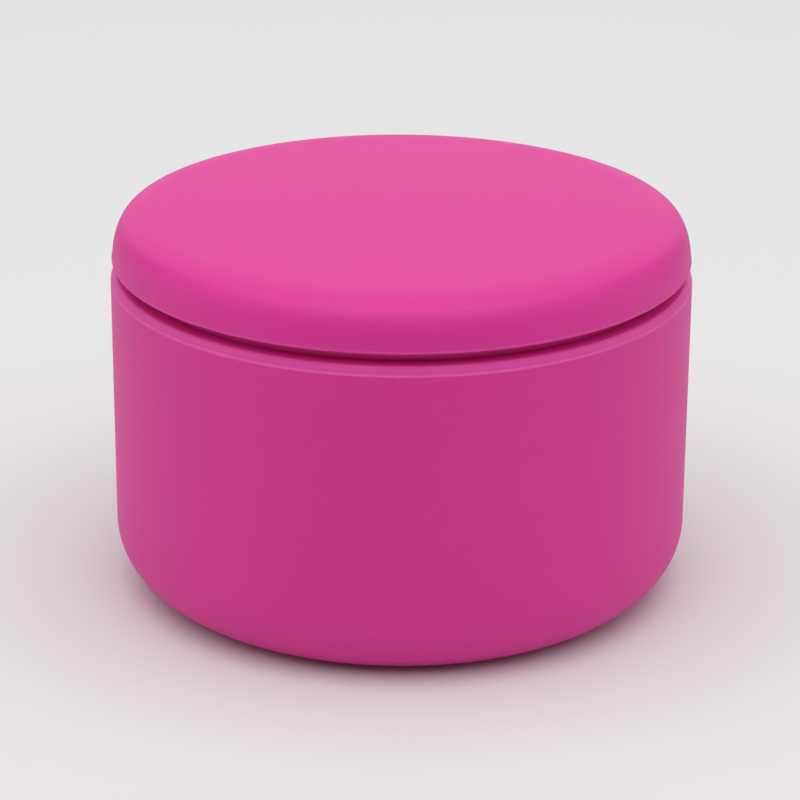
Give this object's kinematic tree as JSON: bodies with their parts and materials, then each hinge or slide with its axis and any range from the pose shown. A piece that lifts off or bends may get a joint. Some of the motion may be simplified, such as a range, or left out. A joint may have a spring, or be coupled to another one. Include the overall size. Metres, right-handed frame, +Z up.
{
  "type": "rock tumbler barrel",
  "caption": "Round rubber-jacketed tumbler barrel with a domed twist-off lid, a rubber liner with flat sides, and a sealing plate that hangs on a pivot in the lid.",
  "frame": {"origin": "centre of the base, on the surface that the barrel stands on", "axes": "+Z up along the barrel's axis, out of the lid's top; +X through the middle of a pair of closure lugs"},
  "size_m": [0.1142, 0.1142, 0.0771],
  "materials": {
    "jacket_rubber": "matt moulded rubber, coloured right through",
    "coloured_plastic": "satin moulded plastic in the jacket's colour",
    "drum_plastic": "plain dark moulded plastic",
    "liner_rubber": "matt black wear rubber",
    "plate_plastic": "fine-grained black moulded plastic",
    "seal_rubber": "smooth dark grey seal rubber",
    "slip_plastic": "smooth waxy off-white plastic",
    "screw_steel": "turned stainless steel",
    "insert_brass": "turned brass"
  },
  "bodies": {
    "barrel": {"barrel_jacket": "jacket_rubber", "drum_core": "drum_plastic", "neck_ring": "coloured_plastic", "barrel_liner": "liner_rubber"},
    "inner_lid": {"inner_lid": "plate_plastic", "lid_seal": "seal_rubber", "slip_ring": "slip_plastic", "pivot_o_ring": "seal_rubber"},
    "cap": {"lid_jacket": "jacket_rubber", "lid_core": "coloured_plastic", "pivot_screw": "screw_steel", "pivot_washer": "screw_steel", "pivot_insert": "insert_brass"}
  },
  "joints": [
    {"name": "lid_lift", "type": "slide", "parent": "barrel", "child": "inner_lid", "axis": [0, 0, 1], "range_m": [0, 0.04]},
    {"name": "lid_turn", "type": "hinge", "parent": "inner_lid", "child": "cap", "pos_m": [0, 0, 0.068], "axis": [0, 0, 1], "range_deg": [0, 720]}
  ],
  "couplings": [
    {"joint": "lid_lift", "follows": "lid_turn", "m_per_rad": 0.0031831}
  ]
}
